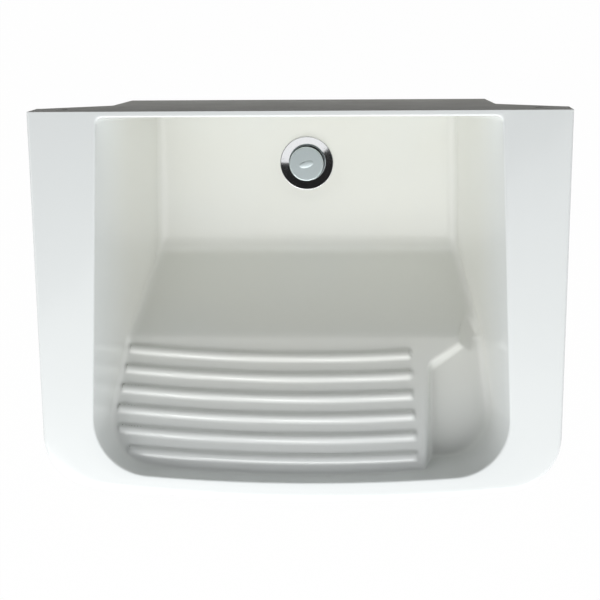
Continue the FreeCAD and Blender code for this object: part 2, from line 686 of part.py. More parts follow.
# Click cartridge: the housing stays in the spider, the plunger slides and the rotor turns in it
housing_bore = "rod_radius + running_gap"
cartridge_housing = turned("cartridge_housing", [
    ("chamber_radius", HOUSING_END), ("cartridge_radius", HOUSING_END), ("cartridge_radius", COLLAR_UNDER),
    ("collar_radius", COLLAR_UNDER), ("collar_radius", COLLAR_TOP), (housing_bore, COLLAR_TOP),
    (housing_bore, CHAMBER_TOP), ("chamber_radius", CHAMBER_TOP)])
cartridge_washer = ring("cartridge_washer", "cartridge_radius + thread_gap", "collar_radius",
                        HUB_TOP, COLLAR_UNDER)
end_cap = turned("end_cap", [
    ("plug_hole", f"{HOUSING_END} - plug_flange"), ("cartridge_radius", f"{HOUSING_END} - plug_flange"),
    ("cartridge_radius", HOUSING_END), ("chamber_radius - thread_gap", HOUSING_END),
    ("chamber_radius - thread_gap", PLUG_TOP), ("plug_hole", PLUG_TOP)])
plunger = turned("plunger", [
    ("0", HEAD_UNDER), ("head_radius", HEAD_UNDER), ("head_radius", HEAD_TOP), ("rod_radius", HEAD_TOP),
    ("rod_radius", ROD_TOP), ("stud_radius + thread_gap", ROD_TOP), ("stud_radius + thread_gap", STUD_UNDER),
    ("0", STUD_UNDER)])
rotor_hub = turned("rotor_hub", [
    ("0", f"{ROTOR_UNDER} - stem_length"), ("stem_radius", f"{ROTOR_UNDER} - stem_length"),
    ("stem_radius", ROTOR_UNDER), ("rotor_radius", ROTOR_UNDER), ("rotor_radius", ROTOR_TOP),
    ("0", ROTOR_TOP)])
index_rotor = fuse("index_rotor", rotor_hub, *spokes(
    "lug", "lug_count", "lug_width", "lug_reach", ROTOR_UNDER, "rotor_height"))


def spring_shape():
    """A round wire wound in half turns, each an arc that leaves the last one smoothly."""
    wire, coil = value("wire_radius"), value("coil_radius")
    low = value(f"{PLUG_TOP} + rest_gap") + wire
    high = value(f"{ROTOR_UNDER} - rest_gap") - wire
    half_turns = 2 * round(value("coil_turns"))
    climb = (high - low) / half_turns
    arcs = []
    for number in range(half_turns):
        side = 1 if number % 2 == 0 else -1
        start = FreeCAD.Vector(side * coil, 0, low + number * climb)
        end = FreeCAD.Vector(-side * coil, 0, low + (number + 1) * climb)
        reach = math.hypot(coil, climb / 2)
        arcs.append(Part.Arc(start, FreeCAD.Vector(0, side * reach, (start.z + end.z) / 2), end).toShape())
    path = Part.Wire(arcs)
    half = TURN_POINT_COUNT // 2
    points = path.discretize(half_turns * half + 1)
    reaches = [a.distanceToPoint(b) for number, a in enumerate(points) for b in points[number + half:]]
    print("least gap between the spring's turns", round(min(reaches) - 2 * wire, 2), "mm")
    section = Part.Wire(Part.makeCircle(wire, FreeCAD.Vector(coil, 0, low), FreeCAD.Vector(0, 1, 0)))
    return path.makePipeShell([section], True, False)


return_spring = doc.addObject("Part::Feature", "return_spring")
return_spring.Shape = spring_shape()
on_drain(return_spring)

# Cap that closes the waste, its seal, and the stud and nut that set its height
cap_blank = turned("popup_cap", [
    ("0", STUD_TOP), ("stud_radius + thread_gap", STUD_TOP), ("stud_radius + thread_gap", BOSS_UNDER),
    ("boss_radius", BOSS_UNDER), ("boss_radius", CAP_UNDER), ("cap_radius", CAP_UNDER),
    ("cap_radius", CAP_TOP), ("0", CAP_TOP)])
popup_cap = eased(cap_blank, "cap_round", CAP_TOP, "cap_radius")
cap_seal = ring("cap_seal", "seal_inner", "seal_outer", SEAL_UNDER, CAP_UNDER)
cap_stud = on_drain(add("Part::Cylinder", "cap_stud", {
    "Radius": "stud_radius", "Height": f"{STUD_TOP} - {STUD_UNDER}"}), STUD_UNDER)
stud_nut = cut("stud_nut", *hexagon(
    "stud_nut", "stud_nut_radius", "stud_radius + thread_gap", STUD_NUT_UNDER, "stud_nut_height"))

NODES = [
    basin, drain_flange, flange_gasket, tapered_washer, slip_washer, lock_nut, cartridge_housing,
    cartridge_washer, end_cap, plunger, index_rotor, return_spring, popup_cap, cap_seal, cap_stud, stud_nut]
doc.recompute()
for thing in doc.Objects:
    if {"Invalid", "Error"} & set(thing.State):
        raise RuntimeError(f"{thing.Label} did not compute")
for node in NODES:
    if node.Shape.isNull() or not node.Shape.isValid():
        raise RuntimeError(f"{node.Label} has no valid shape")
for rib, crown in zip(ribs, crowns):
    if not basin.Shape.Solids[0].isInside(crown, CLOSE, False):
        raise RuntimeError(f"{rib.Label} is missing from the board")

os.makedirs("parts", exist_ok=True)
for node in NODES:
    node.Shape.exportStep(f"parts/{node.Label}.step")
    print(node.Label, len(node.Shape.Solids), "solid", round(node.Shape.Volume / 1000, 2), "cm3")
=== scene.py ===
import json
import math

import bpy
import numpy as np
from mathutils import Matrix, Vector


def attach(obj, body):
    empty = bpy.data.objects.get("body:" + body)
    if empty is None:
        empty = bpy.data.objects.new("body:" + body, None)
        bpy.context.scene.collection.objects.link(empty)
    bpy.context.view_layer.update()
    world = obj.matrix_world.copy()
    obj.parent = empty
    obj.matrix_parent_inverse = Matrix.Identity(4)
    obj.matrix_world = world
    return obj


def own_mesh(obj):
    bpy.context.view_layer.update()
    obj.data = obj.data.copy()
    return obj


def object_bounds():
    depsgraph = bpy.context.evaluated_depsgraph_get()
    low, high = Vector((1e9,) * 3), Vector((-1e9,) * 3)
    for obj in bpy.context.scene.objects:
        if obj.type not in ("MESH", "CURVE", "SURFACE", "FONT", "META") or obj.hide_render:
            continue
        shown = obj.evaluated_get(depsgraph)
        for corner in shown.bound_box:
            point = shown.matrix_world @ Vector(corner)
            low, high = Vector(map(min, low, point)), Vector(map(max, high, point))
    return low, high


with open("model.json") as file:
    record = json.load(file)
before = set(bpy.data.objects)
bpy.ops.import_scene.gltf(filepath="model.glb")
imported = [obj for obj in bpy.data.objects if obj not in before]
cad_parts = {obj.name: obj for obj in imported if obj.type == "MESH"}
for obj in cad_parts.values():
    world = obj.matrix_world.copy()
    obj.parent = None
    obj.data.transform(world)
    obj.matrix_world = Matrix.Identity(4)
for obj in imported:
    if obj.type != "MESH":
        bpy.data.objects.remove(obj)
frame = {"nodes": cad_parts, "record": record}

nodes = frame["nodes"]
cadBox = [list(corner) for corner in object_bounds()]
scene = bpy.context.scene
scene.view_settings.view_transform = "Standard"
print("frame loaded, box", cadBox)

perMetre = 1000  # the skin is worked out in millimetres
joints = {joint["name"]: joint for joint in frame["record"]["behaviour"]["joints"]}
drain = dict(zip("xy", joints["rotor_index"]["pos_m"]))  # the waste's upright axis


# shader maths: a wire is a socket that can stand in a Python sum

class Wire:
    def __init__(self, tree, socket):
        self.tree = tree
        self.socket = socket

    def maths(self, operation, *values):
        return self.tree.add("ShaderNodeMath", {"operation": operation}, dict(enumerate(values)))

    def __add__(self, other):
        return self.maths("ADD", self, other)

    def __radd__(self, other):
        return self.maths("ADD", other, self)

    def __sub__(self, other):
        return self.maths("SUBTRACT", self, other)

    def __rsub__(self, other):
        return self.maths("SUBTRACT", other, self)

    def __mul__(self, other):
        return self.maths("MULTIPLY", self, other)

    def __rmul__(self, other):
        return self.maths("MULTIPLY", other, self)

    def __truediv__(self, other):
        return self.maths("DIVIDE", self, other)

    def __rtruediv__(self, other):
        return self.maths("DIVIDE", other, self)

    def __pow__(self, other):
        return self.maths("POWER", self, other)

    def __rpow__(self, other):
        return self.maths("POWER", other, self)

    def largest(self, other):
        return self.maths("MAXIMUM", self, other)

    def step(self, low, high):  # 0 below low, 1 above high, smooth between
        return self.tree.add("ShaderNodeMapRange", {"interpolation_type": "SMOOTHSTEP"},
                             {"Value": self, "From Min": low, "From Max": high})

    def span(self, low, high):  # low at 0, high at 1
        return self.tree.add("ShaderNodeMapRange", {}, {"Value": self, "To Min": low, "To Max": high})

    def part(self, name):  # another output of the same node
        return Wire(self.tree, self.socket.node.outputs[name])


class WireTree:
    def __init__(self, nodeTree):
        self.nodes = nodeTree.nodes
        self.links = nodeTree.links

    def add(self, kind, settings=None, sockets=None, output=0):
        node = self.nodes.new(kind)
        for key, value in (settings or {}).items():
            setattr(node, key, value)
        for key, value in (sockets or {}).items():
            self.feed(node.inputs[key], value)
        return Wire(self, node.outputs[output])

    def feed(self, socket, value):
        if isinstance(value, Wire):
            self.links.new(value.socket, socket)
        else:
            socket.default_value = value

    def seenRays(self):  # 1 for what the camera sees, straight on, mirrored or through glass
        path = self.add("ShaderNodeLightPath")
        return path.largest(path.part("Is Glossy Ray")).largest(path.part("Is Transmission Ray"))


class Finish(WireTree):
    def __init__(self, name, look):
        self.material = bpy.data.materials.new(name)
        self.material.use_nodes = True
        super().__init__(self.material.node_tree)
        self.shader = self.nodes["Principled BSDF"]
        for socket, value in look.items():
            self.set(socket, value)

    def set(self, name, value):
        self.feed(self.shader.inputs[name], value)

    def place(self):
        return self.add("ShaderNodeTexCoord", output="Object")

    def noise(self, scale, detail, vector=None):
        return self.add("ShaderNodeTexNoise", {"noise_dimensions": "3D"},
                        {"Vector": vector or self.place(), "Scale": scale, "Detail": detail})

    def mix(self, factor, first, second):  # 6, 7 and 2 are a Mix node's colour sockets
        return self.add("ShaderNodeMix", {"data_type": "RGBA"},
                        {"Factor": factor, 6: first, 7: second}, output=2)

    def bump(self, height, strength, distance):
        return self.add("ShaderNodeBump", {}, {"Strength": strength, "Distance": distance, "Height": height})


def colour(*levels):  # red, green and blue as seen on a screen, 0 to 255
    shares = [level / 255 for level in levels]
    return tuple(s / 12.92 if s <= 0.04045 else ((s + 0.055) / 1.055) ** 2.4 for s in shares) + (1.0,)


# in each finish a noise is its scale and detail, its peaks are where it starts to show and where it is full,
# a share is how far it tints, a rough is what it adds to the roughness, and a bump is strength and metres

# tub, where no gel coat covers it: raw cast resin, in a grey that is partly painted shade for the tub's back
# and underside

rawResinAndShade = {
    "body": colour(178, 178, 173), "dark": colour(158, 157, 152), "speck": colour(196, 196, 191),
    "patch": (18.0, 5.0), "patchPeaks": (0.3, 0.7), "patchShare": 0.6,
    "fibre": (140.0, 4.0), "fibreShare": 0.3, "fibreRough": 0.15,
    "grain": (900.0, 3.0), "grainPeaks": (0.6, 0.75), "grainShare": 0.4, "grainHeight": 0.6,
    "look": {"IOR": 1.5}, "rough": 0.62, "bump": (0.12, 0.0006),
}


def makeRawResinAndShade():
    resin = rawResinAndShade
    finish = Finish("raw_resin_and_shade", resin["look"])
    patch = finish.noise(*resin["patch"]).step(*resin["patchPeaks"])
    fibre = finish.noise(*resin["fibre"])
    grain = finish.noise(*resin["grain"])
    specks = grain.step(*resin["grainPeaks"]) * resin["grainShare"]
    stain = patch * resin["patchShare"] + fibre * resin["fibreShare"]
    tint = finish.mix(stain, resin["body"], resin["dark"])
    finish.set("Base Color", finish.mix(specks, tint, resin["speck"]))
    finish.set("Roughness", resin["rough"] + fibre * resin["fibreRough"])
    finish.set("Normal", finish.bump(fibre + grain * resin["grainHeight"], *resin["bump"]))
    return finish.material


# waste: polished flange, satin cap, rubber, mouldings, turned brass and spring wire

chrome = {
    "plate": (0.82, 0.83, 0.84, 1.0), "film": (0.70, 0.72, 0.74, 1.0),
    "spots": (420.0, 4.0), "spotPeaks": (0.58, 0.75), "spotShare": 0.4, "spotRough": 0.06,
    "haze": (60.0, 3.0), "hazeShare": 0.15, "hazeRough": 0.03,
    "look": {"Metallic": 1.0, "IOR": 2.3}, "rough": 0.05, "bump": (0.03, 0.0004),
}


def makeChrome():
    finish = Finish("polished_chrome", chrome["look"])
    spots = finish.noise(*chrome["spots"]).step(*chrome["spotPeaks"])
    haze = finish.noise(*chrome["haze"])
    film = spots * chrome["spotShare"] + haze * chrome["hazeShare"]
    finish.set("Base Color", finish.mix(film, chrome["plate"], chrome["film"]))
    finish.set("Roughness", chrome["rough"] + spots * chrome["spotRough"] + haze * chrome["hazeRough"])
    finish.set("Normal", finish.bump(haze, *chrome["bump"]))
    return finish.material


def roundLines(finish, outward, around, upward, noise):  # fine lines round the waste's axis
    x = finish.add("ShaderNodeSeparateXYZ", {}, {0: finish.place()})
    fromX, fromY = x - drain["x"], x.part("Y") - drain["y"]
    radius = (fromX * fromX + fromY * fromY) ** 0.5
    turn = fromX.maths("ARCTAN2", fromY, fromX) / math.tau
    stretched = {"X": radius * outward, "Y": turn * around, "Z": x.part("Z") * upward}
    return finish.noise(*noise, finish.add("ShaderNodeCombineXYZ", {}, stretched))


satin = {
    "plate": colour(204, 214, 215), "worn": colour(184, 195, 197),
    "brushed": {"outward": 4000, "around": 3, "upward": 400, "noise": (1.0, 3.0)},
    "brushedShare": 0.5, "brushedRough": 0.1,
    "wear": (180.0, 4.0), "wearShare": 0.3, "wearRough": 0.05,
    "look": {"Metallic": 1.0, "IOR": 2.3}, "rough": 0.3, "bump": (0.06, 0.0002),
}


def makeSatin():
    finish = Finish("satin_chrome", satin["look"])
    brushed = roundLines(finish, **satin["brushed"])
    wear = finish.noise(*satin["wear"])
    tint = brushed * satin["brushedShare"] + wear * satin["wearShare"]
    finish.set("Base Color", finish.mix(tint, satin["plate"], satin["worn"]))
    finish.set("Roughness", satin["rough"] + brushed * satin["brushedRough"] + wear * satin["wearRough"])
    finish.set("Normal", finish.bump(brushed, *satin["bump"]))
    return finish.material


rubber = {
    "body": (0.022, 0.022, 0.023, 1.0), "chalk": (0.06, 0.06, 0.062, 1.0),
    "bloom": (140.0, 5.0), "bloomPeaks": (0.45, 0.8), "bloomShare": 0.6, "bloomRough": 0.2,
    "pores": (2200.0, 2.0), "look": {"IOR": 1.5}, "rough": 0.62, "bump": (0.2, 0.0002),
}


def makeRubber():
    finish = Finish("black_rubber", rubber["look"])
    bloom = finish.noise(*rubber["bloom"])
    pores = finish.noise(*rubber["pores"])
    chalk = bloom.step(*rubber["bloomPeaks"]) * rubber["bloomShare"]
    finish.set("Base Color", finish.mix(chalk, rubber["body"], rubber["chalk"]))
    finish.set("Roughness", rubber["rough"] + bloom * rubber["bloomRough"])
    finish.set("Normal", finish.bump(pores + bloom, *rubber["bump"]))
    return finish.material


moulding = {
    "white": {"body": colour(228, 228, 222), "shade": colour(206, 206, 200), "rough": 0.38},
    "grey": {"body": colour(118, 122, 126), "shade": colour(92, 96, 100), "rough": 0.42},
    "flow": (90.0, 3.0), "flowShare": 0.5, "flowRough": 0.12,
    "spark": (1600.0, 2.0), "sparkShare": 0.2,
    "look": {"IOR": 1.48}, "bump": (0.1, 0.0002),
}


def makeMoulding(name, body, shade, rough):
    finish = Finish(name, moulding["look"])
    flow = finish.noise(*moulding["flow"])
    spark = finish.noise(*moulding["spark"])
    tint = flow * moulding["flowShare"] + spark * moulding["sparkShare"]
    finish.set("Base Color", finish.mix(tint, body, shade))
    finish.set("Roughness", rough + flow * moulding["flowRough"])
    finish.set("Normal", finish.bump(spark, *moulding["bump"]))
    return finish.material


turned = {
    "wire": {"body": (0.52, 0.52, 0.53, 1.0), "shade": (0.34, 0.33, 0.32, 1.0), "rough": 0.28},
    "brass": {"body": (0.75, 0.52, 0.22, 1.0), "shade": (0.42, 0.27, 0.10, 1.0), "rough": 0.26},
    "lines": {"outward": 3000, "around": 2, "upward": 3000, "noise": (1.0, 3.0)},
    "lineShare": 0.2, "lineRough": 0.12,
    "tarnish": (150.0, 4.0), "tarnishPeaks": (0.4, 0.8), "tarnishShare": 0.6, "tarnishRough": 0.1,
    "look": {"Metallic": 1.0}, "bump": (0.08, 0.0002),
}


def makeTurned(name, body, shade, rough):
    finish = Finish(name, turned["look"])
    lines = roundLines(finish, **turned["lines"])
    tarnish = finish.noise(*turned["tarnish"])
    tint = tarnish.step(*turned["tarnishPeaks"]) * turned["tarnishShare"] + lines * turned["lineShare"]
    finish.set("Base Color", finish.mix(tint, body, shade))
    finish.set("Roughness", rough + lines * turned["lineRough"] + tarnish * turned["tarnishRough"])
    finish.set("Normal", finish.bump(lines, *turned["bump"]))
    return finish.material


finishes = {
    # the moulding takes raw resin, whose grey is partly painted shade on its back and underside
    "gelcoat": makeRawResinAndShade(),
    "chrome_plate": makeChrome(),
    "satin_chrome": makeSatin(),
    "black_rubber": makeRubber(),
    "white_plastic": makeMoulding("white_moulding", **moulding["white"]),
    "grey_plastic": makeMoulding("grey_moulding", **moulding["grey"]),
    "spring_steel": makeTurned("spring_wire", **turned["wire"]),
    "raw_brass": makeTurned("raw_brass", **turned["brass"]),
}

for part in frame["record"]["subparts"]:
    mesh = nodes[part["node"]].data
    mesh.materials.clear()
    mesh.materials.append(finishes[part["material_slot"]])


# gel coat: one smooth skin over the basin, rim and skirt, laid on the moulding's own faces, in millimetres.
# out is the distance from the wall, and a pair of sizes is where something begins and where it is full

boxLow, boxHigh = [[round(value * perMetre, 2) for value in corner] for corner in cadBox]
coat = {
    "rimZ": boxHigh[2], "depth": 195, "thick": 0.35, "proud": 0.45, "lift": 0.6,
    "mouth": {"halfBack": 224, "halfFront": 238, "front": 420.5, "bow": 2200, "corner": 66,
              "back": 6, "backCorner": 8},
    "floor": {"halfBack": 178.5, "halfFront": 182.5, "front": 374, "bow": 2200, "corner": 40,
              "back": 8, "backCorner": 12},
    "rim": {"halfBack": boxHigh[0], "halfFront": 292, "front": -boxLow[1], "bow": 2050, "corner": 62,
            "back": 0, "backCorner": 0},
    "wallFillet": 11, "frontFillet": 3.6,
    "frontOut": (385, 405), "frontFrom": (-200, -150), "frontTo": (172, 206),
    "mouthEdge": 2.4, "rimEdge": 4, "skirtFoot": -15, "foldUnder": 5, "foldRound": 1.2,
    "squareStep": 1.5, "sharp": 60,
}
bed = {
    "floorEnd": 177, "slope": 47, "board": 28, "boardDrop": 16.12, "boardFront": coat["mouth"]["front"],
    "valley": 30, "ridge": 22,
}
ribs = {
    "first": 27, "pitch": 24.4, "bow": 2050, "half": 5.8, "rise": 3.4, "soft": 1.0,
    "left": (-202.9, -206.5, -210.1, -213.2, -210.6, -198.3), "leftOver": 1.0,
    "right": 122.5, "rightStep": 1.4, "over": 0.9, "endSoft": 2.6,
}
dish = {
    "back": 285, "backDepth": 7, "angle": 20, "left": 146, "inset": 0.5, "draft": 0.268, "foot": 150.6,
    "lipFrom": (143.9, 297.2), "lipTo": (184.9, 271.3), "lipRamp": 12, "ridge": (266, 272),
    "fillet": 15, "front": (350, 385),
}
groove = {
    "x": 194, "radius": 14.5, "angle": 33, "below": 0.35, "side": 0.96, "steep": 5, "soft": 0.8, "stop": 20,
}
sump = {
    "x": drain["x"] * perMetre, "out": -drain["y"] * perMetre, "inner": 32.3, "outer": 46, "deep": 0.35,
    "hole": 31,
}
weave = {  # how many steps each stretch of the skin has
    "backCorner": 4, "corner": 20, "front": 140, "wall": 4, "fillet": 8, "edge": 6, "rim": 3, "skirt": 3,
    "fold": 3, "under": 1, "side": ((0.43, 34), (0.52, 12), (0.74, 28), (1.0, 50)),
    "halvings": 40, "probe": 3,
}


def tan(degrees):
    return math.tan(math.radians(degrees))


def smooth(low, high, value):
    share = np.clip((value - low) / (high - low), 0, 1)
    return share * share * (3 - 2 * share)


def softMin(first, second, radius):
    share = np.clip(0.5 + 0.5 * (second - first) / radius, 0, 1)
    return second + (first - second) * share - radius * share * (1 - share)


def boardLevel(out):
    return coat["rimZ"] - bed["boardDrop"] - (bed["boardFront"] - out) * tan(bed["board"])


skinTop = coat["rimZ"] + coat["proud"]
floorZ = coat["rimZ"] - coat["depth"]
leanY, leanZ = math.sin(math.radians(bed["board"])), math.cos(math.radians(bed["board"]))
slopeRise, boardRise = tan(bed["slope"]), tan(bed["board"])
ridgeOut = (boardLevel(0) - floorZ + bed["floorEnd"] * slopeRise) / (slopeRise - boardRise)


def bedLevel(out):  # floor, slope and board seen from the side, with a round valley and a round ridge
    slope = floorZ + (out - bed["floorEnd"]) * tan(bed["slope"])
    level = np.maximum(floorZ, np.minimum(slope, boardLevel(out)))
    reach = bed["valley"] * tan(bed["slope"] / 2)
    start = bed["floorEnd"] - reach
    end = bed["floorEnd"] + reach * math.cos(math.radians(bed["slope"]))
    valley = floorZ + bed["valley"] - np.sqrt(np.maximum(bed["valley"] ** 2 - (out - start) ** 2, 0))
    level = np.where((out > start) & (out < end), valley, level)
    reach = bed["ridge"] * tan((bed["slope"] - bed["board"]) / 2)
    start = ridgeOut - reach * math.cos(math.radians(bed["slope"]))
    end = ridgeOut + reach * leanZ
    middle, centre = end + bed["ridge"] * leanY, boardLevel(end) - bed["ridge"] * leanZ
    ridge = centre + np.sqrt(np.maximum(bed["ridge"] ** 2 - (out - middle) ** 2, 0))
    return np.where((out > start) & (out < end), ridge, level)


def dishDepth(x, out, level):  # how far the soap dish lies below the board, with its lip across the corner
    dishFloor = boardLevel(dish["back"]) - dish["backDepth"] + (out - dish["back"]) * tan(dish["angle"])
    deep = np.maximum(level - dishFloor, 0)
    edge = dish["left"] + dish["inset"] - deep * dish["draft"]
    along = Vector(dish["lipTo"]) - Vector(dish["lipFrom"])
    inward = Vector((-along.y, along.x)).normalized()
    past = (x - dish["lipFrom"][0]) * inward.x + (out - dish["lipFrom"][1]) * inward.y
    mask = smooth(edge, dish["foot"], x) * smooth(0, dish["lipRamp"], past) * smooth(*dish["ridge"], out)
    return deep * mask


def grooveLevel(x, out):  # a round trough from the dish down the slope, with steep banks
    across, reach = np.abs(x - groove["x"]), groove["radius"] * groove["side"]
    curve = groove["radius"] - np.sqrt(groove["radius"] ** 2 - np.minimum(across, reach) ** 2)
    curve = curve / math.cos(math.radians(groove["angle"])) + np.maximum(across - reach, 0) * groove["steep"]
    trough = boardLevel(dish["back"]) - dish["backDepth"] - groove["below"] + curve
    trough = trough + (out - dish["back"]) * tan(groove["angle"])
    return np.maximum(trough, floorZ + groove["stop"])


def bottom(x, y):  # the basin's bottom with dish, groove and sump, before the ribs
    out = -y
    level = bedLevel(out)
    level = level - dishDepth(x, out, level)
    level = softMin(level, grooveLevel(x, out), groove["soft"])
    away = np.hypot(x - sump["x"], out - sump["out"])
    return level - sump["deep"] * (1 - smooth(sump["inner"], sump["outer"], away)) + coat["lift"]


def ribHeight(x, y):
    run = (-y - ridgeOut) / leanZ
    half, rise = ribs["half"], ribs["rise"]
    roll = (half ** 2 + rise ** 2) / (2 * rise)
    total = np.zeros_like(x)
    for number, leftEnd in enumerate(ribs["left"]):
        rightEnd = ribs["right"] + number * ribs["rightStep"]
        line = ribs["first"] + number * ribs["pitch"] - ribs["bow"]
        off = np.abs(np.hypot(x, run - line) - ribs["bow"])
        height = np.sqrt(roll ** 2 - np.minimum(off, half) ** 2) - (roll - rise)
        height = height - np.maximum(off - half, 0) * half / (roll - rise)
        height = -softMin(-height, np.zeros_like(height), ribs["soft"])
        leftEnd = leftEnd - ribs["leftOver"]
        height = height * smooth(leftEnd - ribs["endSoft"], leftEnd - ribs["over"], x)
        height = height * (1 - smooth(rightEnd + ribs["over"], rightEnd + ribs["endSoft"], x))
        total = np.maximum(total, height)
    return total


def arcPoints(centre, radius, first, last, count):
    angles = [first + (last - first) * i / count for i in range(count)]
    return [centre + Vector((math.cos(a), math.sin(a))) * radius for a in angles]


def linePoints(start, end, shares):
    return [start.lerp(end, share) for share in shares]


def mirrored(points):
    return [Vector((-p.x, p.y)) for p in reversed(points)]


def sideShares():  # closer together where the bottom bends
    shares, low = [], 0.0
    for high, count in weave["side"]:
        shares += [low + (high - low) * i / count for i in range(count)]
        low = high
    return shares


gridRows = weave["backCorner"] + len(sideShares()) + weave["corner"]
gridColumns = 2 * weave["corner"] + weave["front"]


# the back left corner: its points on the side, where the straight side starts, and its points on the wall
def rearCorner(outline, start, side, inward, back):
    radius = outline["backCorner"]
    if radius:
        sideAngle = math.atan2(-inward.y, -inward.x) % math.tau
        lower = start + inward * radius
        centre = lower + side * ((-back - radius - lower.y) / side.y)
        middle = (math.pi / 2 + sideAngle) / 2
        onSide = arcPoints(centre, radius, middle, sideAngle, weave["backCorner"])
        onWall = arcPoints(centre, radius, math.pi / 2, middle, weave["backCorner"])
        return onSide, centre - inward * radius, onWall
    steps = [coat["squareStep"] * i for i in range(weave["backCorner"])]
    onSide = [start + side * step for step in steps]
    onWall = [start + Vector((step + coat["squareStep"], 0)) for step in reversed(steps)]
    return onSide, start + side * coat["squareStep"] * weave["backCorner"], onWall


def planRing(outline, inset):  # round a plan outline from the back left corner: left, front, right, back
    bow, front, corner = outline["bow"] - inset, outline["front"] - inset, outline["corner"] - inset
    back = outline["back"] + inset if outline["back"] else 0
    halfBack, halfFront = outline["halfBack"] - inset, outline["halfFront"] - inset
    bowCentre = Vector((0, bow - front))
    start = Vector((-halfBack, -back))
    side = (Vector((-halfFront, bowCentre.y - math.sqrt(bow ** 2 - halfFront ** 2))) - start).normalized()
    inward = Vector((-side.y, side.x))
    base = start + inward * corner - bowCentre
    reach = -base.dot(side) + math.sqrt(base.dot(side) ** 2 - base.dot(base) + (bow - corner) ** 2)
    centre = start + inward * corner + side * reach
    sideAngle = math.atan2(-inward.y, -inward.x) % math.tau
    frontAngle = math.atan2(*reversed(centre - bowCentre)) % math.tau
    middle = (sideAngle + frontAngle) / 2
    rear, sideStart, wall = rearCorner(outline, start, side, inward, back)
    left = rear + linePoints(sideStart, centre - inward * corner, sideShares())
    left += arcPoints(centre, corner, sideAngle, middle, weave["corner"])
    turn = arcPoints(centre, corner, middle, frontAngle, weave["corner"])
    bowed = arcPoints(bowCentre, bow, frontAngle, 3 * math.pi - frontAngle, weave["front"])
    nose = turn + bowed + mirrored(turn[1:] + bowed[:1])
    right = mirrored(left[1:] + turn[:1])
    across = len(nose) - 2 * weave["backCorner"]
    wallRight = mirrored(wall[1:] + left[:1])
    straight = linePoints(Vector((-wall[0].x, wall[0].y)), wall[0], [i / across for i in range(across)])
    return np.array([tuple(p) for p in left + nose + right + wallRight + straight + wall])


def raised(outline, inset, level):  # a plan outline at one height
    ring = planRing(outline, inset)
    return np.column_stack((ring, np.full(len(ring), float(level))))


def bezierRings(first, control, last, count):  # the rings after first, up to last
    shares = [i / count for i in range(1, count + 1)]
    return [first * (1 - s) ** 2 + control * 2 * s * (1 - s) + last * s * s for s in shares]


def straightRings(first, last, count):
    return [first + (last - first) * i / count for i in range(1, count + 1)]


def unit(vectors):
    return vectors / np.linalg.norm(vectors, axis=1)[:, None]


def wallFoot(mouth, floor):  # where each wall line meets the bottom
    low, high = np.zeros(len(mouth)), np.ones(len(mouth))
    for _ in range(weave["halvings"]):
        middle = (low + high) / 2
        spot = mouth + (floor - mouth) * middle[:, None]
        above = spot[:, 2] > bottom(spot[:, 0], spot[:, 1])
        low, high = np.where(above, middle, low), np.where(above, high, middle)
    return mouth + (floor - mouth) * high[:, None]


def filletReach(foot):  # crisp at the front of the board, wide in the dish
    inDish = smooth(dish["left"], dish["foot"], foot[:, 0]) * smooth(*dish["front"], -foot[:, 1])
    fillet = coat["wallFillet"] + (dish["fillet"] - coat["wallFillet"]) * inDish
    atFront = smooth(*coat["frontFrom"], foot[:, 0]) * (1 - smooth(*coat["frontTo"], foot[:, 0]))
    atFront = atFront * smooth(*coat["frontOut"], -foot[:, 1])
    return fillet + (coat["frontFillet"] - fillet) * atFront


def bottomBorder(mouth, floor, foot, fillet):  # where the fillet runs out on the bottom
    ahead = np.roll(mouth + floor, -1, axis=0) - np.roll(mouth + floor, 1, axis=0)
    inward = unit(np.column_stack((-ahead[:, 1], ahead[:, 0])))
    probe = foot[:, :2] + inward * weave["probe"]
    climb = (bottom(probe[:, 0], probe[:, 1]) - bottom(foot[:, 0], foot[:, 1])) / weave["probe"]
    border = foot[:, :2] + inward * (fillet / np.sqrt(1 + climb ** 2))[:, None]
    return np.column_stack((border, bottom(border[:, 0], border[:, 1])))


def coonsGrid(left, front, right, back):  # plan points between four border lines
    v = ((left[:, 1] - left[0, 1]) / (left[-1, 1] - left[0, 1]))[:, None, None]
    u = ((front[:, 0] - front[0, 0]) / (front[-1, 0] - front[0, 0]))[None, :, None]
    ruled = back[None] * (1 - v) + front[None] * v + left[:, None] * (1 - u) + right[:, None] * u
    corners = (back[0] * (1 - u) + back[-1] * u) * (1 - v) + (front[0] * (1 - u) + front[-1] * u) * v
    return ruled - corners


def bottomGrid(border):  # the bottom with its ribs, and how far each point lies from the waste's axis
    closed = np.vstack((border, border[:1]))[:, :2]
    frontEnd = gridRows + gridColumns
    rightEnd = frontEnd + gridRows
    plan = coonsGrid(closed[:gridRows + 1], closed[gridRows:frontEnd + 1],
                     closed[frontEnd:rightEnd + 1][::-1], closed[rightEnd:][::-1])
    x, y = plan[..., 0], plan[..., 1]
    rib = ribHeight(x, y)
    away = np.hypot(x - sump["x"], y + sump["out"])
    pull = np.maximum(sump["hole"] / np.maximum(away, 1), 1)  # the edge of the hole lies on a circle
    roundX, roundY = sump["x"] + (x - sump["x"]) * pull, (y + sump["out"]) * pull - sump["out"]
    return np.stack((roundX, roundY + rib * leanY, bottom(roundX, roundY) + rib * leanZ), axis=-1), away


def wallRings(border, foot, mouth, upWall, fillet, rimEnd):  # from the bottom up the wall and over the rim
    onWall = foot + upWall * fillet[:, None]
    underEdge = mouth - upWall * coat["mouthEdge"]
    rimStart = raised(coat["mouth"], coat["proud"] - coat["mouthEdge"], skinTop)
    rings = bezierRings(border, foot, onWall, weave["fillet"])
    for ring in rings:  # the ribs run on into the fillet
        buried = (ring[:, 2] - bottom(ring[:, 0], ring[:, 1])) * leanZ
        standing = np.maximum(ribHeight(ring[:, 0], ring[:, 1]) - buried, 0)
        ring += standing[:, None] * np.array((0, leanY, leanZ))
    rings += straightRings(onWall, underEdge, weave["wall"])
    rings += bezierRings(underEdge, mouth, rimStart, weave["edge"])
    return rings + straightRings(rimStart, rimEnd, weave["rim"])


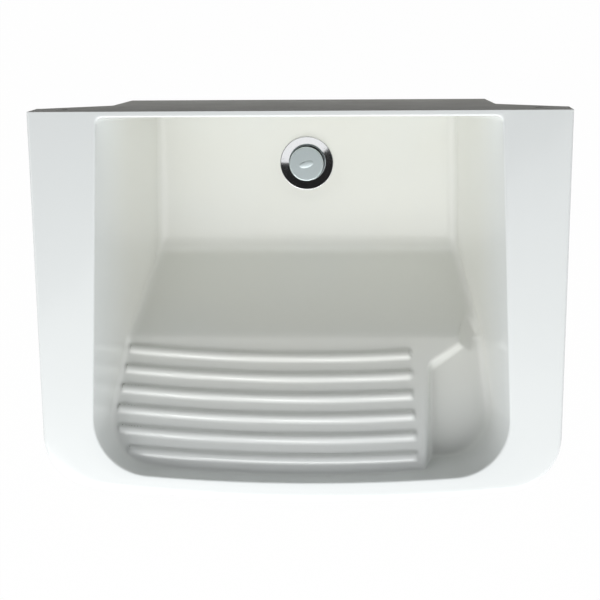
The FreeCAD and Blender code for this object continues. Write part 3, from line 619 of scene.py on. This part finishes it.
def skirtRings(rimEnd):  # round the rim's edge, down the skirt and folded in under it
    rim, proud, foldZ = coat["rim"], coat["proud"], coat["skirtFoot"] - coat["proud"]
    overEdge = raised(rim, -proud, skinTop - coat["rimEdge"])
    foldTop = raised(rim, -proud, foldZ + coat["foldRound"])
    foldIn = raised(rim, coat["foldRound"] - proud, foldZ)
    rings = bezierRings(rimEnd, raised(rim, -proud, skinTop), overEdge, weave["edge"])
    rings += straightRings(overEdge, foldTop, weave["skirt"])
    rings += bezierRings(foldTop, raised(rim, -proud, foldZ), foldIn, weave["fold"])
    return rings + straightRings(foldIn, raised(rim, coat["foldUnder"], foldZ), weave["under"])


def cellCorners(grid):  # each cell's four corners, going round it
    return grid[:-1, :-1], grid[1:, :-1], grid[1:, 1:], grid[:-1, 1:]


def weaveQuads(grid, away, rings, skirt):  # the bottom round its drain hole, the closed rings, the open skirt
    number = np.arange(away.size).reshape(away.shape)
    solid = np.maximum.reduce(cellCorners(away)) > sump["hole"]
    quads = np.stack(cellCorners(number), axis=-1)[solid].tolist()
    inner = np.concatenate((number[:-1, 0], number[-1, :-1], number[:0:-1, -1], number[0, :0:-1]))
    points, total = [grid.reshape(-1, 3)], number.size
    for ring in rings:
        outer = np.arange(total, total + len(ring))
        quads += np.stack((inner, outer, np.roll(outer, -1), np.roll(inner, -1)), axis=-1).tolist()
        points.append(ring)
        inner, total = outer, total + len(ring)
    along = 2 * gridRows + gridColumns + 1
    inner = inner[:along]
    for ring in skirt:
        outer = np.arange(total, total + along)
        quads += np.stack((inner[:-1], outer[:-1], outer[1:], inner[1:]), axis=-1).tolist()
        points.append(ring[:along])
        inner, total = outer, total + along
    return np.vstack(points), quads


def addPiece(name, points, faces, sharp):
    mesh = bpy.data.meshes.new(name)
    mesh.from_pydata(points, [], faces)
    mesh.shade_smooth()
    mesh.set_sharp_from_angle(angle=math.radians(sharp))
    piece = bpy.data.objects.new(name, mesh)
    scene.collection.objects.link(piece)
    return piece


def closedShell(name, points, quads, thick, sharp):  # a sheet with an underside, closed round its borders
    used = np.unique(quads)
    place = np.zeros(len(points), int)
    place[used] = np.arange(len(used))
    points, quads = points[used], place[np.array(quads)]
    diagonal = np.cross(points[quads[:, 2]] - points[quads[:, 0]], points[quads[:, 3]] - points[quads[:, 1]])
    normals = np.zeros_like(points)
    for corner in range(4):
        np.add.at(normals, quads[:, corner], diagonal)
    under = points - unit(normals) * thick
    edges = {(a, b) for quad in quads.tolist() for a, b in zip(quad, quad[1:] + quad[:1])}
    border = [(a, b) for a, b in edges if (b, a) not in edges]
    count = len(points)
    faces = quads.tolist() + (quads[:, ::-1] + count).tolist()
    faces += [(b, a, a + count, b + count) for a, b in sorted(border)]
    return addPiece(name, np.vstack((points, under)).tolist(), faces, sharp)


def buildGelCoat():
    mouth = raised(coat["mouth"], coat["proud"], skinTop)
    floor = raised(coat["floor"], coat["proud"], floorZ)
    rimEnd = raised(coat["rim"], coat["rimEdge"] - coat["proud"], skinTop)
    foot = wallFoot(mouth, floor)
    fillet = filletReach(foot)
    border = bottomBorder(mouth, floor, foot, fillet)
    rings = wallRings(border, foot, mouth, unit(mouth - floor), fillet, rimEnd)
    points, quads = weaveQuads(*bottomGrid(border), rings, skirtRings(rimEnd))
    return closedShell("gel_coat", points / perMetre, quads, coat["thick"] / perMetre, coat["sharp"])


# the basin colour is the rim's white made darker and warmer: painted shade down in the hollow
whiteCoat = {
    "rim": colour(231, 235, 235), "basin": colour(226, 227, 221), "shadeFade": (0.0, 0.6),
    "cloudTint": colour(222, 226, 226), "cloud": (6.0, 3.0), "cloudPeaks": (0.35, 0.75), "cloudShare": 0.25,
    "smudge": (24.0, 5.0), "smudgePeaks": (0.45, 0.8), "smudgeRough": 0.05, "ripple": (260.0, 1.0),
    "look": {"IOR": 1.5, "Coat Roughness": 0.06, "Coat Weight": 0.35}, "rough": 0.16, "bump": (0.02, 0.0006),
}


def makeWhiteCoat():  # a little darker and warmer down in the basin: painted shade in its hollow
    white = whiteCoat
    finish = Finish("gel_coat", white["look"])
    z = finish.add("ShaderNodeSeparateXYZ", {}, {0: finish.place()}, output="Z")
    # depth mixes in the basin's painted shade, from none at the rim to full part way down
    depth = ((coat["rimZ"] / perMetre - z) / (coat["depth"] / perMetre)).step(*white["shadeFade"])
    cloud = finish.noise(*white["cloud"]).step(*white["cloudPeaks"])
    smudge = finish.noise(*white["smudge"]).step(*white["smudgePeaks"])
    tint = finish.mix(depth, white["rim"], white["basin"])
    finish.set("Base Color", finish.mix(cloud * white["cloudShare"], tint, white["cloudTint"]))
    finish.set("Roughness", white["rough"] + smudge * white["smudgeRough"])
    finish.set("Normal", finish.bump(finish.noise(*white["ripple"]), *white["bump"]))
    return finish.material


gelSkin = buildGelCoat()
gelSkin.data.materials.append(makeWhiteCoat())
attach(gelSkin, "tub")
print("gel coat", len(gelSkin.data.vertices), "points", len(gelSkin.data.polygons), "faces")


# cap: a plain oval pad on its top, steeper at the back, in metres

pad = {
    "x": drain["x"], "y": drain["y"] - 0.0002, "length": 0.0088, "width": 0.0044, "turn": 16,
    "rise": 0.0004, "sunk": 0.0003, "crest": 0.55, "swell": 2.5, "around": 64, "rings": 8, "sharp": 50,
}


def buildPad():
    cap = nodes["popup_cap"]
    top = max((cap.matrix_world @ vertex.co).z for vertex in cap.data.vertices)
    crest = Vector((0, pad["width"] * pad["crest"]))
    turn = Matrix.Rotation(math.radians(pad["turn"]), 2)
    count = pad["around"]
    angles = [math.tau * i / count for i in range(count)]
    edge = [Vector((math.cos(a) * pad["length"], math.sin(a) * pad["width"])) for a in angles]
    points, faces = [], []

    def put(spot, height):
        spot = turn @ spot
        points.append((pad["x"] + spot.x, pad["y"] + spot.y, top + height))

    put(crest, pad["rise"])
    for ring in range(1, pad["rings"] + 1):
        share = ring / pad["rings"]
        for spot in edge:
            put(crest.lerp(spot, share), pad["rise"] * (1 - share ** pad["swell"]))
    for spot in edge:
        put(spot, -pad["sunk"])
    put(Vector((0, 0)), -pad["sunk"])
    last = 1 + pad["rings"] * count
    for i in range(count):
        j = (i + 1) % count
        faces.append((0, 1 + i, 1 + j))
        for start in range(1, last, count):
            faces.append((start + i, start + count + i, start + count + j, start + j))
        faces.append((last + count, last + j, last + i))
    return addPiece("cap_pad", points, faces, pad["sharp"])


capPad = buildPad()
capPad.data.materials.append(finishes["satin_chrome"])
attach(capPad, "popup")
print("cap pad", len(capPad.data.polygons), "faces")


# return spring: how much of its length it keeps when the cap is pressed, on a mesh of its own

coil = nodes["return_spring"]
heights = [(coil.matrix_world @ vertex.co).z for vertex in coil.data.vertices]
kept = 1 - joints["popup_press"]["range_m"][1] / (max(heights) - min(heights))
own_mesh(coil)
print("spring keeps", round(kept, 3), "of its length when pressed")


# stage: white floor well below, dark cards behind the wall line and above it, soft light from in front

def flatCard(name, corners, material):
    mesh = bpy.data.meshes.new(name)
    mesh.from_pydata(corners, [], [(0, 1, 2, 3)])
    mesh.materials.append(material)
    card = bpy.data.objects.new(name, mesh)
    scene.collection.objects.link(card)
    return card


ground = {
    "z": -0.82, "size": 12.0, "white": (1, 1, 1, 1), "glow": 1.02, "glowShare": 0.95,
    "look": {"Base Color": (0.5, 0.5, 0.5, 1.0), "Roughness": 0.9},
}


def layGround():  # it glows white where it is seen, and lights the tub only as a grey floor
    finish = Finish("floor_white", ground["look"])
    glow = finish.add("ShaderNodeEmission", {}, {"Color": ground["white"], "Strength": ground["glow"]})
    grey = Wire(finish, finish.shader.outputs["BSDF"])
    share = finish.seenRays() * ground["glowShare"]
    finish.feed(finish.nodes["Material Output"].inputs["Surface"],
                finish.add("ShaderNodeMixShader", {}, {0: share, 1: grey, 2: glow}))
    half, z = ground["size"] / 2, ground["z"]
    corners = [(-half, -half, z), (half, -half, z), (half, half, z), (-half, half, z)]
    flatCard("floor", corners, finish.material)


cards = {
    "halfWidth": 1.5, "backY": 0.6, "low": 0.0, "topZ": 2.5, "frontY": -0.4, "skew": -0.3,
    "look": {"Base Color": (0.02, 0.02, 0.02, 1.0), "Roughness": 0.9},
}


def hangCards():
    black = Finish("card_black", cards["look"]).material
    wide, back, low, top = cards["halfWidth"], cards["backY"], cards["low"], cards["topZ"]
    front, skew = cards["frontY"], cards["halfWidth"] * cards["skew"]
    behind = [(-wide, back, low), (wide, back, low), (wide, back, top), (-wide, back, top)]
    above = [(-wide, back, top), (wide, back, top), (wide, front - skew, top), (-wide, front + skew, top)]
    for name, corners in (("card_behind", behind), ("card_above", above)):
        flatCard(name, corners, black).visible_camera = False


sky = {"colour": (1, 1, 1, 1), "light": 0.86, "seen": 1.0}


def lightSky():
    world = bpy.data.worlds.new("studio")
    scene.world = world
    world.use_nodes = True
    air = WireTree(world.node_tree)
    background = air.nodes["Background"]
    air.feed(background.inputs["Color"], sky["colour"])
    air.feed(background.inputs["Strength"], air.seenRays().span(sky["light"], sky["seen"]))


lamp = {"at": (-0.25, -1.7, 1.7), "aim": (0, -0.2, 0), "size": (2.2, 1.4), "watts": 40}


def hangLamp():
    data = bpy.data.lights.new("key", "AREA")
    data.shape = "RECTANGLE"
    data.size, data.size_y = lamp["size"]
    data.energy = lamp["watts"]
    light = bpy.data.objects.new("key", data)
    light.location = lamp["at"]
    light.rotation_euler = (Vector(lamp["aim"]) - Vector(lamp["at"])).to_track_quat("-Z", "Y").to_euler()
    light.visible_camera = False
    scene.collection.objects.link(light)


layGround()
hangCards()
lightSky()
hangLamp()
print("stage lit")


# camera: above the wall line, looking down the tub, a long lens

view = {
    "at": (0.100804, 0.117368, 1.936539), "ahead": (-0.052105, -0.170243, -0.984024),
    "right": (0.998642, -0.007829, -0.051525), "lens": 103.504, "sensor": 36.0,
}


def setCamera():
    data = bpy.data.cameras.new("camera")
    data.sensor_fit = "HORIZONTAL"
    data.sensor_width = view["sensor"]
    data.lens = view["lens"]
    camera = bpy.data.objects.new("camera", data)
    ahead, right = Vector(view["ahead"]).normalized(), Vector(view["right"]).normalized()
    turn = Matrix((right, right.cross(ahead), -ahead)).transposed()
    camera.matrix_world = Matrix.Translation(view["at"]) @ turn.to_4x4()
    scene.collection.objects.link(camera)
    scene.camera = camera


setCamera()
print("camera set")
